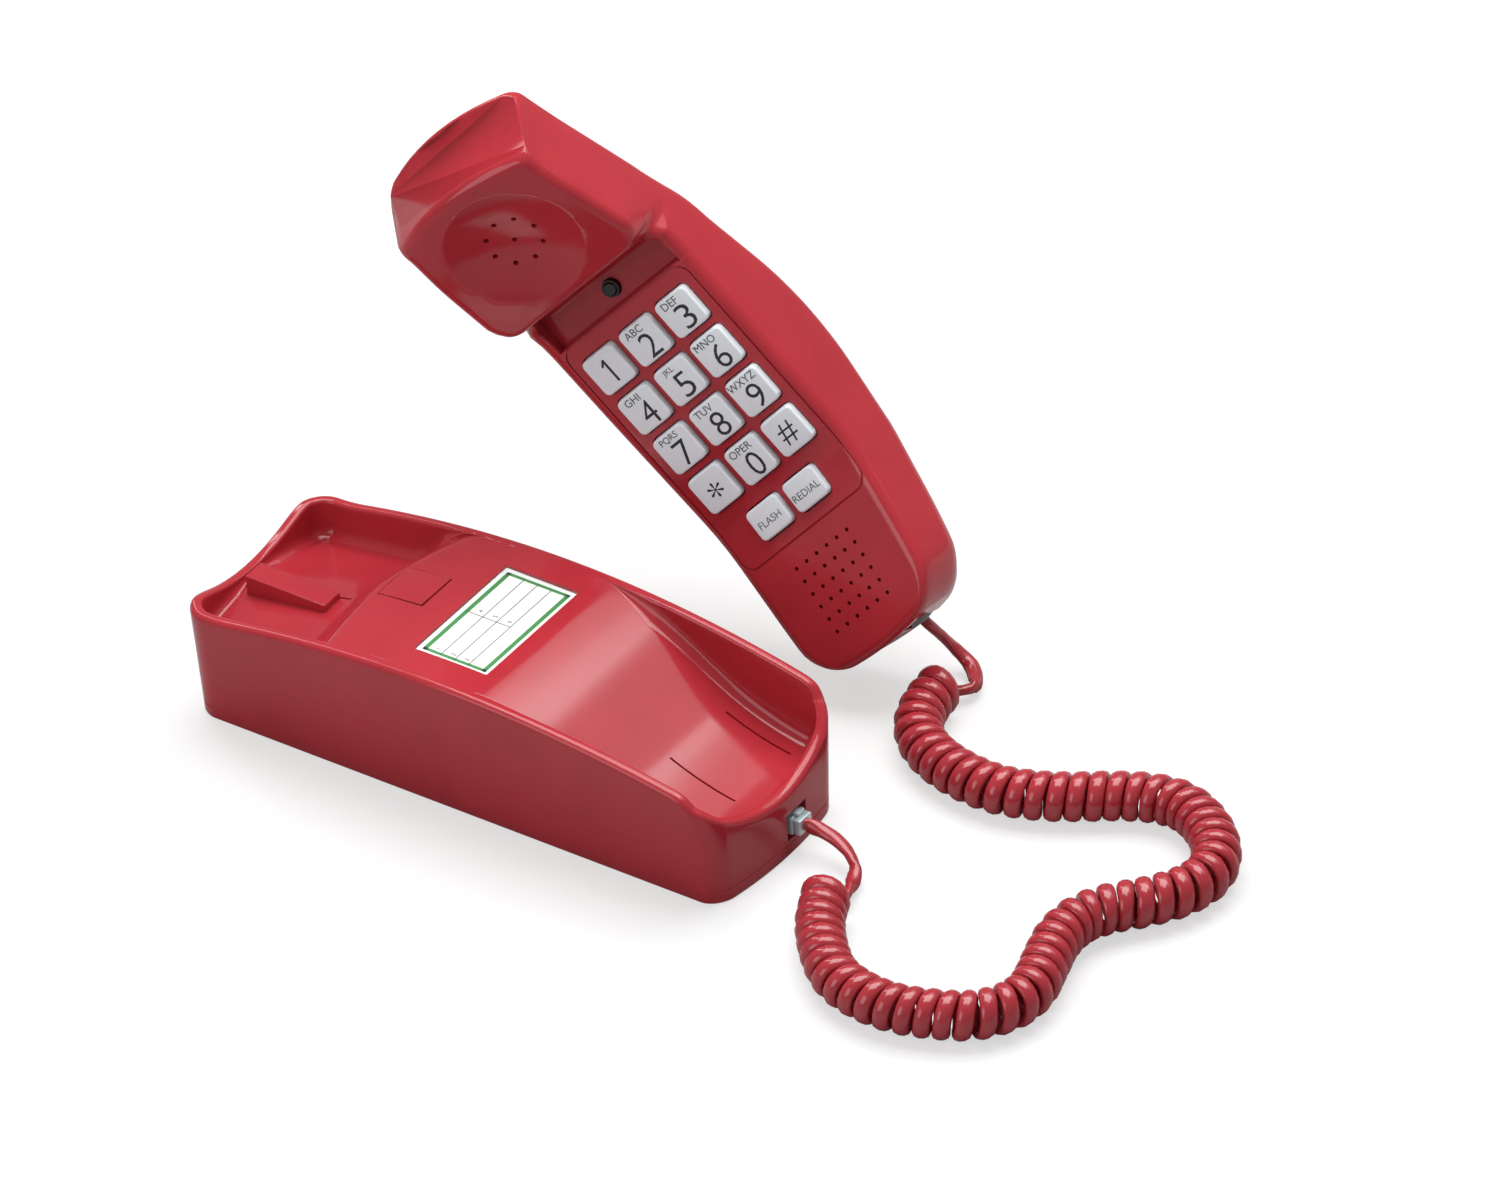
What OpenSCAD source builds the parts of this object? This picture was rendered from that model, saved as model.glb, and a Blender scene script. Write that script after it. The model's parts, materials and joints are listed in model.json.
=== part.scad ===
// Slimline wall telephone: cradle base, handset with keypad, and coiled handset cord.
// The base lies on its feet, long axis along X, cord jack at +X. The handset stands behind it.

/* [Base] */
// Length of the base at its foot
base_len = 210; // [200:1:216]
// Width of the base at its foot
base_foot_w = 67; // [64:1:70]
// Width of the base at its highest rim
base_top_w = 80; // [76:1:82]
// Height of the rim in the middle of the base
rim_h = 54; // [52:0.5:56]
// Radius of the long arc of the rim
rim_arc_r = 426; // [400:1:450]
// Wall thickness of the base shell
base_wall = 2.6; // [2.2:0.1:3]

/* [Handset] */
// Width of the handset at its keypad face
face_w = 62; // [60:1:63]
// Distance from the keypad face to the back
body_depth = 31; // [30:0.5:33]
// Wall thickness of the handset shells
hand_wall = 2.4; // [2:0.1:2.8]

/* [Keypad] */
// Centre distance of neighbouring keys
key_pitch = 17.2; // [17:0.1:17.4]
// Side of a square key
key_size = 14.3; // [13.8:0.1:14.5]
// Height of a key above the face
key_rise = 2.6; // [2.2:0.1:3]
// Gap around a key in its opening
key_gap = 0.4; // [0.35:0.05:0.5]

/* [Cord] */
// Outer diameter of the coiled cord
coil_d = 17; // [16:0.5:17]
// Diameter of the straight ends of the cord
tail_d = 5; // [4.6:0.1:5.2]

/* [Hidden] */
KEY_NAMES = ["key_1", "key_2", "key_3", "key_4", "key_5", "key_6", "key_7", "key_8", "key_9",
             "key_star", "key_0", "key_pound"];
red = "#b8434a";

// Base: side outline in X and Z, with small feet under it
shell_z = 1.2;
plate_t = 3.4;
end_top_x = base_len / 2 + 1;
end_rim_z = 44.6;
rim_steps = 24;
function arc_z(x) = rim_h - rim_arc_r + sqrt(rim_arc_r * rim_arc_r - x * x);
function rim_z(x) = x < 0 ? max(end_rim_z, arc_z(x)) : arc_z(x);
function side_outline(t) = concat(
    [[-base_len / 2 + t, shell_z + t], [base_len / 2 - t, shell_z + t]],
    [for (i = [0:rim_steps]) let (x = (end_top_x - t) * (1 - 2 * i / rim_steps)) [x, rim_z(x) - t]]);

// Handset: side outline along its length and out of its face, corners as [x, z, radius]
hand_corners = [[-105, 33, 5], [-54, 7, 3.5], [-51.5, -5, 2], [-39.5, -5, 1.5], [-39.3, 0, 0.6],
                [42, 0, 66], [98.5, 17.6, 5], [104, -14.5, 7], [50, -29, 70], [0, -7.5 - body_depth, 110],
                [-52, -25, 60], [-118, 8, 7]];
back_corners = [[-150, 80, 1], [140, 80, 1], [140, -4.8, 1], [50, -29, 70],
                [0, -7.5 - body_depth, 110], [-52, -25, 60], [-150, 24, 1]];
back_crown = 7.8;
seam = [[-140, 34], [-52, -9], [0, -20.5], [50, -12.5], [110, 6]];
ear_at = [-80.5, 20.6];
ear_tilt = 27;
mic_at = [74, 10];
mic_tilt = 17.3;
handset_turn = [73, 43.7, 4.84];
handset_at = [15.05, 90.4, 92.65];

// Routes of the cord, each point [x, y, z]
coil_route = [[135, -17], [142, -31], [152, -43], [163, -52], [176, -56], [189, -56], [202, -52],
              [213, -46], [220, -36], [221, -25], [217, -12], [213, 1], [213, 13], [218, 23],
              [226, 32], [233, 43], [235, 55], [230, 66], [220, 75], [208, 80], [197, 79],
              [186, 74], [175, 67], [164, 61], [151, 57], [138, 57], [125, 60], [114, 66],
              [107, 75], [104, 85], [103, 94]];
tail_base_route = [[110.2, 7, 10.9], [115, 7.5, 10.4], [121, 7.5, 9], [127, 6, 7], [131.5, 3, 5],
                   [134.5, -2, 4], [136.5, -8, 4], [137, -14, 5]];
tail_handset_route = [[89.4, 105.7, 20.4], [90.3, 107.1, 17.9], [91.1, 109.2, 15], [92.5, 111.1, 11.4],
                      [94.7, 112.4, 8.2], [97.8, 112.8, 5.6], [101.3, 111.7, 4.2],
                      [105.8, 107.6, 3.8], [108.5, 101.5, 4.2], [108, 95.5, 5]];

// Corner rounding: each corner [x, y, r] becomes an arc of that radius
function unit(v) = v / norm(v);
function turn(a, b) = a.x * b.y - a.y * b.x;
function corner_arc(p, q, s, steps = 8) =
    let (a = unit([p.x - q.x, p.y - q.y]), b = unit([s.x - q.x, s.y - q.y]),
         half = acos(max(-1, min(1, a * b))) / 2, reach = q[2] / tan(half),
         mid = unit(a + b) * q[2] / sin(half), c = [q.x, q.y] + mid,
         v0 = [q.x, q.y] + a * reach - c, v1 = [q.x, q.y] + b * reach - c,
         sweep = atan2(turn(v0, v1), v0 * v1))
    [for (i = [0:steps]) let (w = sweep * i / steps)
        c + [v0.x * cos(w) - v0.y * sin(w), v0.x * sin(w) + v0.y * cos(w)]];
function rounded(pts) = [for (i = [0:len(pts) - 1])
    each corner_arc(pts[(i + len(pts) - 1) % len(pts)], pts[i], pts[(i + 1) % len(pts)])];
// Moves every side of a clockwise outline inwards by t and adjusts the corner radii
function inset(pts, t) = [for (i = [0:len(pts) - 1])
    let (p = pts[(i + len(pts) - 1) % len(pts)], q = pts[i], s = pts[(i + 1) % len(pts)],
         d0 = unit([q.x - p.x, q.y - p.y]), d1 = unit([s.x - q.x, s.y - q.y]),
         n0 = [d0.y, -d0.x], n1 = [d1.y, -d1.x], m = (n0 + n1) / (1 + n0 * n1),
         convex = turn(d0, d1) < 0)
    [q.x + t * m.x, q.y + t * m.y, max(0.3, convex ? q[2] - t : q[2] + t)]];
// Smooth curve through hand-chosen points
function spline(p, k, t) =
    let (a = p[max(k - 1, 0)], b = p[k], c = p[k + 1], d = p[min(k + 2, len(p) - 1)])
    0.5 * (2 * b + (c - a) * t + (2 * a - 5 * b + 4 * c - d) * t * t
           + (3 * b - a - 3 * c + d) * t * t * t);

// A round tube swept along a route, closed at both ends
module tube(route, d, sides, per_span = 1) {
    pts = concat([for (k = [0:len(route) - 2]) for (i = [0:per_span - 1])
        spline(route, k, i / per_span)], [route[len(route) - 1]]);
    n = len(pts);
    rings = [for (i = [0:n - 1])
        let (f = unit(pts[min(i + 1, n - 1)] - pts[max(i - 1, 0)]),
             s = unit(cross(f, [0, 0, 1])), u = cross(s, f))
        for (j = [0:sides - 1]) pts[i] + d / 2 * (s * cos(360 * j / sides) + u * sin(360 * j / sides))];
    polyhedron(rings, concat(
        [[for (j = [0:sides - 1]) j]],
        [for (i = [0:n - 2]) for (j = [0:sides - 1])
            let (a = i * sides + j, b = i * sides + (j + 1) % sides)
            each [[a, a + sides, b + sides], [a, b + sides, b]]],
        [[for (j = [sides - 1:-1:0]) (n - 1) * sides + j]]));
}

// A flat rectangle with round corners, centred
module plate(l, w, r) {
    square([l - 2 * r, w], center = true);
    square([l, w - 2 * r], center = true);
    for (x = [-1, 1], y = [-1, 1])
        translate([x * (l / 2 - r), y * (w / 2 - r)]) circle(r, $fn = 32);
}
module block(l, w, h, r) linear_extrude(h) plate(l, w, r);

// Solid of the base, all sides moved inwards by t
module base_form(t) {
    slope = (base_top_w - base_foot_w) / 2 / rim_h;
    intersection() {
        translate([0, 60, 0]) rotate([90, 0, 0]) linear_extrude(120) polygon(side_outline(t));
        rotate([90, 0, 90]) linear_extrude(260, center = true) polygon([
            [-base_foot_w / 2 + t, 0], [base_foot_w / 2 - t, 0],
            [base_top_w / 2 - t + slope * 6, rim_h + 6], [-base_top_w / 2 + t - slope * 6, rim_h + 6]]);
        translate([0, 0, -1]) linear_extrude(80) base_plan(t);
    }
}
// In plan the receiver end is nearly straight and the jack end bows outwards
module base_plan(t) {
    left_bow_r = 450;
    right_bow_r = 150;
    intersection() {
        plate(2 * end_top_x - 2 * t, base_top_w + 2 - 2 * t, 20 - t);
        translate([end_top_x - right_bow_r - t, 0]) circle(right_bow_r, $fn = 180);
        translate([left_bow_r - end_top_x + t, 0]) circle(left_bow_r, $fn = 240);
    }
}
// Floors of the two hollows in the top, as side outlines in X and Z
receiver_floor = [[-112, 34.2], [-97, 36], [-60, 41], [-56, 43.5], [-48.5, 54], [-43, 62], [-43, 100],
                  [-112, 100]];
// The receiver hollow's floor is a ridge that falls away to both sides, in degrees
ridge_at = [0, -1, 38];
ridge_falls = [-11, 6.5];
transmitter_floor = [[14, 53.9], [30, 48], [45, 40.4], [56, 33.8], [67, 27.8], [80, 23.2], [93, 20.4],
                     [120, 20.4], [120, 70], [14, 70]];
module floor_cut(points, w) translate([0, w / 2, 0]) rotate([90, 0, 0]) linear_extrude(w) polygon(points);
module pockets(t) {
    intersection() {
        union() {
            for (fall = ridge_falls) translate(ridge_at) rotate([fall, 0, 0]) translate([0, 0, -ridge_at.z])
                floor_cut([for (p = receiver_floor) p - [0, t]], 2 * base_top_w);
            floor_cut([for (p = transmitter_floor) p - [0, t]], base_top_w - 9);
        }
        translate([0, 0, -1]) linear_extrude(90) intersection() {
            base_plan(4.2 - t);
            square([base_len, base_top_w - 9 + 2 * t], center = true);
        }
    }
}
// Rounded dips in the rim at the jack end and, shallower, at the receiver end
jack_dip_r = 57;
receiver_dip_r = 60;
module end_dips(t) {
    translate([97, 0, 25 + jack_dip_r]) rotate([0, 90, 0])
        cylinder(h = 20, r = jack_dip_r + t, $fn = 128);
    translate([-117, 0, 38 + receiver_dip_r]) rotate([0, 90, 0])
        cylinder(h = 20, r = receiver_dip_r + t, $fn = 128);
}
module tongue() translate([-98, -10.6, 24]) cube([32, 8.8, 18.5]);

tab_x = [-48, -30];
tab_y = [-5.6, 11.4];
jack_y = 7;
jack_z = 11;
card_x = [-19, 10];
card_w = 52;
card_z = 53.4;
// Screws of the base and the height of their bosses
screw_xy = [[-80, -24, 34.4], [-80, 24, 32], [70, -24, 24.6], [70, 24, 24.6]];
keyhole_x = [-42, 42];
keyhole_r = 5;

module base_cradle() color(red) difference() {
    union() {
        difference() {
            base_form(0);
            pockets(0);
            end_dips(0);
            intersection() {
                base_form(base_wall);
                difference() {
                    translate([-120, -50, -1]) cube([240, 100, 80]);
                    pockets(base_wall);
                    end_dips(base_wall);
                }
            }
            // open underside for the cover plate
            linear_extrude(plate_t + 0.5) plate(base_len - 6, base_foot_w - 6, 12);
        }
        intersection() { base_form(0); tongue(); }
        for (p = screw_xy) translate([p.x, p.y, plate_t + 0.05])
            cylinder(h = p.z - plate_t, d = 7, $fn = 40);
    }
    // recess of the index card
    translate([card_x[0], -card_w / 2, card_z - 0.9]) cube([card_x[1] - card_x[0], card_w, 8]);
    // slot of the wall-hanging tab
    translate([tab_x[0], tab_y[0], rim_z(-39) - 3.1]) cube([18, 17, 12]);
    translate([-42, tab_y[0] + 2, 38]) cube([4.6, 13, 20]);
    // opening of the handset cord jack
    translate([90, jack_y - 5.6, jack_z - 5]) cube([30, 11.2, 10.4]);
    // opening of the ringer switch on the far side
    translate([-66, 28, 12]) cube([16, 14, 7]);
    // opening of the line cord inlet at the receiver end
    translate([-112, -6.8, 5]) cube([24, 13.6, 10]);
    for (p = screw_xy) translate([p.x, p.y, 2]) cylinder(h = 14, d = 2.6, $fn = 24);
}
module base_bottom() color("#8f3a40") difference() {
    block(base_len - 6.6, base_foot_w - 6.6, plate_t, 12);
    for (x = keyhole_x) translate([x, 0, -1]) {
        cylinder(h = 6, r = keyhole_r, $fn = 48);
        translate([0, -2.4, 0]) cube([11, 4.8, 6]);
    }
    for (p = screw_xy) translate([p.x, p.y, -1]) cylinder(h = 6, d = 3.4, $fn = 32);
    for (p = screw_xy) translate([p.x, p.y, -1]) cylinder(h = 2.6, d = 6.2, $fn = 32);
    for (p = foot_xy) translate([p.x, p.y, -1]) cylinder(h = 2, d = 10.4, $fn = 40);
    for (x = [-62:4:-50]) translate([x, 8, -1]) cube([2, 16, 6]);
}
foot_xy = [[-90, -19], [-90, 19], [90, -19], [90, 19]];
module rubber_feet() color("#2b2626") for (p = foot_xy)
    translate([p.x, p.y, 0]) cylinder(h = 1, d = 10, $fn = 40);
module base_screws() color("silver") for (p = screw_xy) translate([p.x, p.y, 0.3]) {
    cylinder(h = 1.3, d = 5.6, $fn = 32);
    cylinder(h = 13, d = 2.5, $fn = 24);
}
module ballast_plate() color("#7c7f83") difference() {
    translate([22, 0, plate_t + 0.05]) block(50, 46, 5, 3);
    translate([keyhole_x[1] - 7, -7, 0]) cube([20, 14, 20]);
}
module index_card() color("#f4f6f2")
    translate([card_x[0] + 0.3, -card_w / 2 + 0.3, card_z - 0.88]) cube([28.4, card_w - 0.6, 0.3]);
module card_cover() color([0.9, 0.95, 0.95, 0.3])
    translate([card_x[0] + 0.3, -card_w / 2 + 0.3, card_z - 0.56]) cube([28.4, card_w - 0.6, 0.6]);
module hang_tab() color(red) {
    translate([tab_x[0] + 0.3, tab_y[0] + 0.3, rim_z(-39) - 2.8]) cube([17.4, 16.4, 2.4]);
    translate([-41.6, tab_y[0] + 2.4, rim_z(-39) - 12]) cube([3.8, 12.2, 9.3]);
}
module base_jack() color("#39393c") difference() {
    translate([86, jack_y - 5.3, jack_z - 4.7]) cube([17.4, 10.6, 9.8]);
    translate([91, jack_y - 4, jack_z - 3.5]) cube([20, 8, 7]);
    translate([98, jack_y - 1.9, jack_z]) cube([20, 3.8, 4.9]);
}
module base_contacts() color("gold") for (i = [0:3])
    translate([86.6, jack_y - 1.9 + i * 1.1, jack_z - 6.9]) cube([0.5, 0.5, 3.6]);
module line_jack() color("#39393c") difference() {
    translate([-103.4, -6.4, 5.4]) cube([15, 12.8, 9.2]);
    translate([-110, -5, 6.8]) cube([19, 10, 6.4]);
}
module base_board() color("#2f6b45") difference() {
    translate([-82, -17, 15.4]) cube([60, 34, 1.6]);
    translate([-58, 0, 10]) cylinder(h = 12, d = 4, $fn = 32);
}
module ringer() color("#26262a") difference() {
    translate([-56, 14, plate_t + 0.05]) cylinder(h = 8, d = 26, $fn = 64);
    translate([-56, 14, plate_t + 6]) cylinder(h = 8, d = 4, $fn = 32);
}
module ringer_switch_body() color("#34343a")
    translate([-65, 27.6, 10.6]) cube([14, 3.6, 8.8]);
module ringer_slider() color("#34343a") {
    translate([-63.6, 31.6, 13]) cube([6.4, 3.4, 4.4]);
    for (i = [0:2]) translate([-62.6 + i * 1.8, 34.4, 13]) cube([0.8, 1.5, 4.4]);
}

// Solid of the handset, all sides moved inwards by t, in the handset's own axes:
// x along it towards the mouthpiece, y across it, z out of its face
module hand_form(t) {
    flare = 0.11;
    hw = face_w / 2 - t;
    intersection() {
        translate([0, 60, 0]) rotate([90, 0, 0]) linear_extrude(120)
            polygon(rounded(inset(hand_corners, t)));
        // the back falls away to both sides
        for (side = [-1, 1]) rotate([side * back_crown, 0, 0]) translate([0, 60, 0]) rotate([90, 0, 0])
            linear_extrude(120) polygon(rounded(inset(back_corners, t)));
        rotate([90, 0, 90]) linear_extrude(300, center = true) polygon([
            [-hw - flare * 40, -40], [hw + flare * 40, -40], [hw - flare * 40, 40], [-hw + flare * 40, 40]]);
        translate([0, 0, -50]) linear_extrude(100) hand_plan(t);
    }
}
module hand_plan(t) {
    bow_r = 110;
    intersection() {
        translate([-8, 0]) plate(222 - 2 * t, face_w + 10 - 2 * t, 16 - t);
        translate([103 - bow_r - t, 0]) circle(bow_r, $fn = 160);
        translate([bow_r - 119 + t, 0]) circle(bow_r, $fn = 160);
    }
}
module on_handset() translate(handset_at) rotate(handset_turn) children();
module at_ear() translate([ear_at.x, 0, ear_at.y]) rotate([0, ear_tilt, 0]) children();
module at_mic() translate([mic_at.x, 0, mic_at.y]) rotate([0, -mic_tilt, 0]) children();
module above_seam(gap) translate([0, 60, gap]) rotate([90, 0, 0]) linear_extrude(120)
    polygon(concat(seam, [[110, 90], [-140, 90]]));
dish_r = 97.5;
dish_depth = 3;
module ear_dish(t) at_ear() translate([0, 0, dish_r - dish_depth]) sphere(dish_r + t, $fn = 160);
ear_ring_r = 9.2;
mic_step = [4.9, 4.75];
function key_at(i) = [(floor(i / 3) - 1.5) * key_pitch, (i % 3 - 1) * key_pitch, 0];
small_key_y = [-8.6, 8.6];
small_key = [11.6, 14.3];
module at_small_key(i) translate([44.4, small_key_y[i], 1.1]) rotate([0, -8, 0]) children();
module key_opening(size) translate([0, 0, -8])
    block(size.x + 2 * key_gap, size.y + 2 * key_gap, 16, 2.2);
// Screws of the handset: place along it, seat of the head, and joint of the two bosses
hand_screws = [[-62, -11, -5.5], [62, -17, -10]];
hook_x = -45.5;

module handset_front() color(red) on_handset() difference() {
    union() {
        difference() {
            intersection() { hand_form(0); above_seam(0); }
            difference() { hand_form(hand_wall); ear_dish(hand_wall); }
        }
        for (p = hand_screws) intersection() {
            hand_form(1);
            translate([p[0], 0, p[2] + 0.1]) cylinder(h = 40, d = 6.5, $fn = 40);
        }
    }
    // shallow dish of the earpiece, with its sound holes
    ear_dish(0);
    at_ear() translate([0, 0, -12]) cylinder(h = 20, d = 1.8, $fn = 16);
    at_ear() for (i = [0:7]) rotate(45 * i) translate([ear_ring_r, 0, -12])
        cylinder(h = 20, d = 1.8, $fn = 16);
    for (i = [0:5], j = [0:5]) at_mic()
        translate([(i - 2.5) * mic_step.x, (j - 2.5) * mic_step.y, -6]) cylinder(h = 12, d = 1.4, $fn = 16);
    for (i = [0:11]) translate(key_at(i)) key_opening([key_size, key_size]);
    for (i = [0:1]) at_small_key(i) key_opening(small_key);
    translate([hook_x, 0, -20]) cylinder(h = 30, d = 6.6, $fn = 40);
    for (p = hand_screws) translate([p[0], 0, p[2] - 1]) cylinder(h = 5, d = 2.6, $fn = 24);
}
jack_v = 2.5;
module jack_hole() translate([84, jack_v - 5.6, -13.5]) cube([26, 11.2, 10.8]);
module handset_back() color(red) on_handset() difference() {
    union() {
        difference() {
            hand_form(0);
            hand_form(hand_wall);
        }
        for (p = hand_screws) intersection() {
            hand_form(1);
            translate([p[0], 0, -60]) cylinder(h = 60 + p[2], d = 9, $fn = 40);
        }
    }
    above_seam(-0.1);
    for (p = hand_screws) translate([p[0], 0, -70]) {
        cylinder(h = 90, d = 3, $fn = 24);
        cylinder(h = 70 + p[1], d = 6, $fn = 32);
    }
    jack_hole();
}
module handset_screws() color("silver") on_handset() for (p = hand_screws)
    translate([p[0], 0, p[1] - 1.9]) {
        cylinder(h = 1.8, d = 5.4, $fn = 32);
        cylinder(h = p[2] - p[1] + 5, d = 2.5, $fn = 24);
    }
module key(size) {
    translate([0, 0, -3]) block(size.x, size.y, 3 + key_rise, 2);
    translate([0, 0, -4.2]) block(size.x + 1.4, size.y + 1.4, 1.21, 2);
}
module number_key(i) color("#dde3e8") on_handset() translate(key_at(i)) key([key_size, key_size]);
module small_key_part(i) color("#dde3e8") on_handset() at_small_key(i) key(small_key);
module keypad_mat() color("#5c5f66") on_handset() translate([7, 0, -8.2]) block(88, 52, 1.2, 3);
module keypad_board() color("#2f6b45") on_handset() translate([7, 0, -10.2]) block(90, 54, 1.6, 3);
module earpiece() color("#2b2b2e") on_handset() at_ear() {
    translate([0, 0, -14.6]) cylinder(h = 6.4, d = 32, $fn = 72);
    translate([0, 0, -17.6]) cylinder(h = 3.1, d = 24, $fn = 72);
}
module earpiece_seal() color("#1d1d1f") on_handset() at_ear() difference() {
    translate([0, 0, -8.15]) cylinder(h = 2.6, d = 30, $fn = 72);
    translate([0, 0, -9]) cylinder(h = 8, d = 24, $fn = 72);
}
module microphone() color("#b9bcc0") on_handset() at_mic()
    translate([0, 0, -9.6]) cylinder(h = 5, d = 9.6, $fn = 48);
module microphone_boot() color("#1d1d1f") on_handset() at_mic() difference() {
    translate([0, 0, -10.6]) cylinder(h = 7.4, d = 13, $fn = 48);
    translate([0, 0, -9.65]) cylinder(h = 9, d = 9.7, $fn = 48);
}
module hook_button() color("#2e3a38") on_handset() translate([hook_x, 0, 0]) {
    translate([0, 0, -11]) cylinder(h = 7.6, d = 6, $fn = 40);
    translate([0, 0, -3.9]) cylinder(h = 1.2, d1 = 6, d2 = 4, $fn = 40);
    translate([0, 0, -11]) cylinder(h = 1.2, d = 8.4, $fn = 40);
}
module hook_switch() color("#34343a") on_handset() translate([-50, -6, -20.5]) cube([9, 12, 7]);
module handset_jack() color("#39393c") on_handset() translate([0, jack_v, 0]) difference() {
    translate([84.6, -5.3, -13.2]) cube([14, 10.6, 10.2]);
    translate([88, -4, -12]) cube([20, 8, 7]);
    translate([92, -1.9, -13.4]) cube([20, 3.8, 4.9]);
}
module handset_contacts() color("gold") on_handset() for (i = [0:3])
    translate([85, jack_v - 1.9 + i * 1.1, -4]) cube([0.5, 0.5, 3.6]);
module handset_weight() color("#7c7f83") on_handset()
    translate([2, 0, -28]) block(44, 26, 8, 3);

// Modular plug: clear body with its latch and the strain wedge over the cord
module plug() color([0.75, 0.88, 0.88, 0.6]) {
    translate([-11.5, -3.8, -3.2]) cube([14.5, 7.6, 6.4]);
    translate([-6, -1.6, -4.3]) cube([7, 3.2, 1.2]);
}
module plug_base() translate([107, jack_y, jack_z - 0.1]) mirror([0, 0, 1]) plug();
module plug_handset() on_handset() translate([99.8, jack_v, -8.5]) plug();
module cord_tail_base() color(red) tube(tail_base_route, tail_d, 8, 1);
module cord_tail_handset() color(red) tube(tail_handset_route, tail_d, 8, 1);
module cord_coil() color(red)
    tube([for (p = coil_route) [p.x, p.y, coil_d / 2]], coil_d, 12, 2);

base_cradle();
base_bottom();
rubber_feet();
base_screws();
ballast_plate();
index_card();
card_cover();
hang_tab();
base_jack();
base_contacts();
line_jack();
base_board();
ringer();
ringer_switch_body();
ringer_slider();
handset_front();
handset_back();
keypad_mat();
keypad_board();
for (i = [0:11]) number_key(i);
small_key_part(0);  // key_flash
small_key_part(1);  // key_redial
earpiece();
earpiece_seal();
microphone();
microphone_boot();
hook_button();
hook_switch();
handset_jack();
handset_contacts();
handset_weight();
handset_screws();
plug_base();
plug_handset();
cord_tail_base();
cord_coil();
cord_tail_handset();
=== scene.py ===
"""Slimline wall telephone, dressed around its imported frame.

Sizes inside the classes are in millimetres in the row frame, or in the handset's own
axes: x along it to the mouthpiece, y across it, z out of its face. Meshes are in metres.
"""
import json
import logging
import math
from dataclasses import dataclass, field
from enum import Enum
from typing import Callable, Iterable, Optional, Sequence

import bmesh
import bpy
from mathutils import Matrix, Vector

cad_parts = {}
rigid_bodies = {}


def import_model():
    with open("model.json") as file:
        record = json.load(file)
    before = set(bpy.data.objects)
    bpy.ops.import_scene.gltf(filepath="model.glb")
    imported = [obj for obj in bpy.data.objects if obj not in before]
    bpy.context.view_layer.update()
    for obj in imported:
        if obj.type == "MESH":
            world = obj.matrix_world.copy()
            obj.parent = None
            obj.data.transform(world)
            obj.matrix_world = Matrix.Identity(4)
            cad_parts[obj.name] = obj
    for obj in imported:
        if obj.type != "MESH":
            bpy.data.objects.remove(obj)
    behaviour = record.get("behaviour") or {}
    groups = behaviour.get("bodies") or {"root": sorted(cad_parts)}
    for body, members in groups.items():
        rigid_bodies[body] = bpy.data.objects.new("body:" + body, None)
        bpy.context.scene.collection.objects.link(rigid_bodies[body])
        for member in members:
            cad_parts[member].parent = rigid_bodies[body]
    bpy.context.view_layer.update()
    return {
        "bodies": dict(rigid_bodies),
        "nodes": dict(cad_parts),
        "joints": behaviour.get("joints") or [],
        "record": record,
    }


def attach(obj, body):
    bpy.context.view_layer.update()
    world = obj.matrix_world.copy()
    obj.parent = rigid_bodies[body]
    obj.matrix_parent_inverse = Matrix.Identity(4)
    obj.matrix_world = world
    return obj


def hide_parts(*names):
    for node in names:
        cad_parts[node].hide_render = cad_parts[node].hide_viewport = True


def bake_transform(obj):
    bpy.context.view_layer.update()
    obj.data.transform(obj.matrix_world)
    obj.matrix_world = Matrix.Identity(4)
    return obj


log = logging.getLogger("wall_phone")
MM = 0.001
Point = tuple[float, float]
Colour = tuple[float, float, float]


# ---------------------------------------------------------------- finishes
class Grain(Enum):
    """Relief of a moulded or worked surface: noise scale per metre and height in metres."""

    POLISHED = (900.0, 0.000004)
    SATIN = (2600.0, 0.00001)
    RUBBER = (4200.0, 0.00002)
    CAST = (1500.0, 0.00006)


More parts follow.
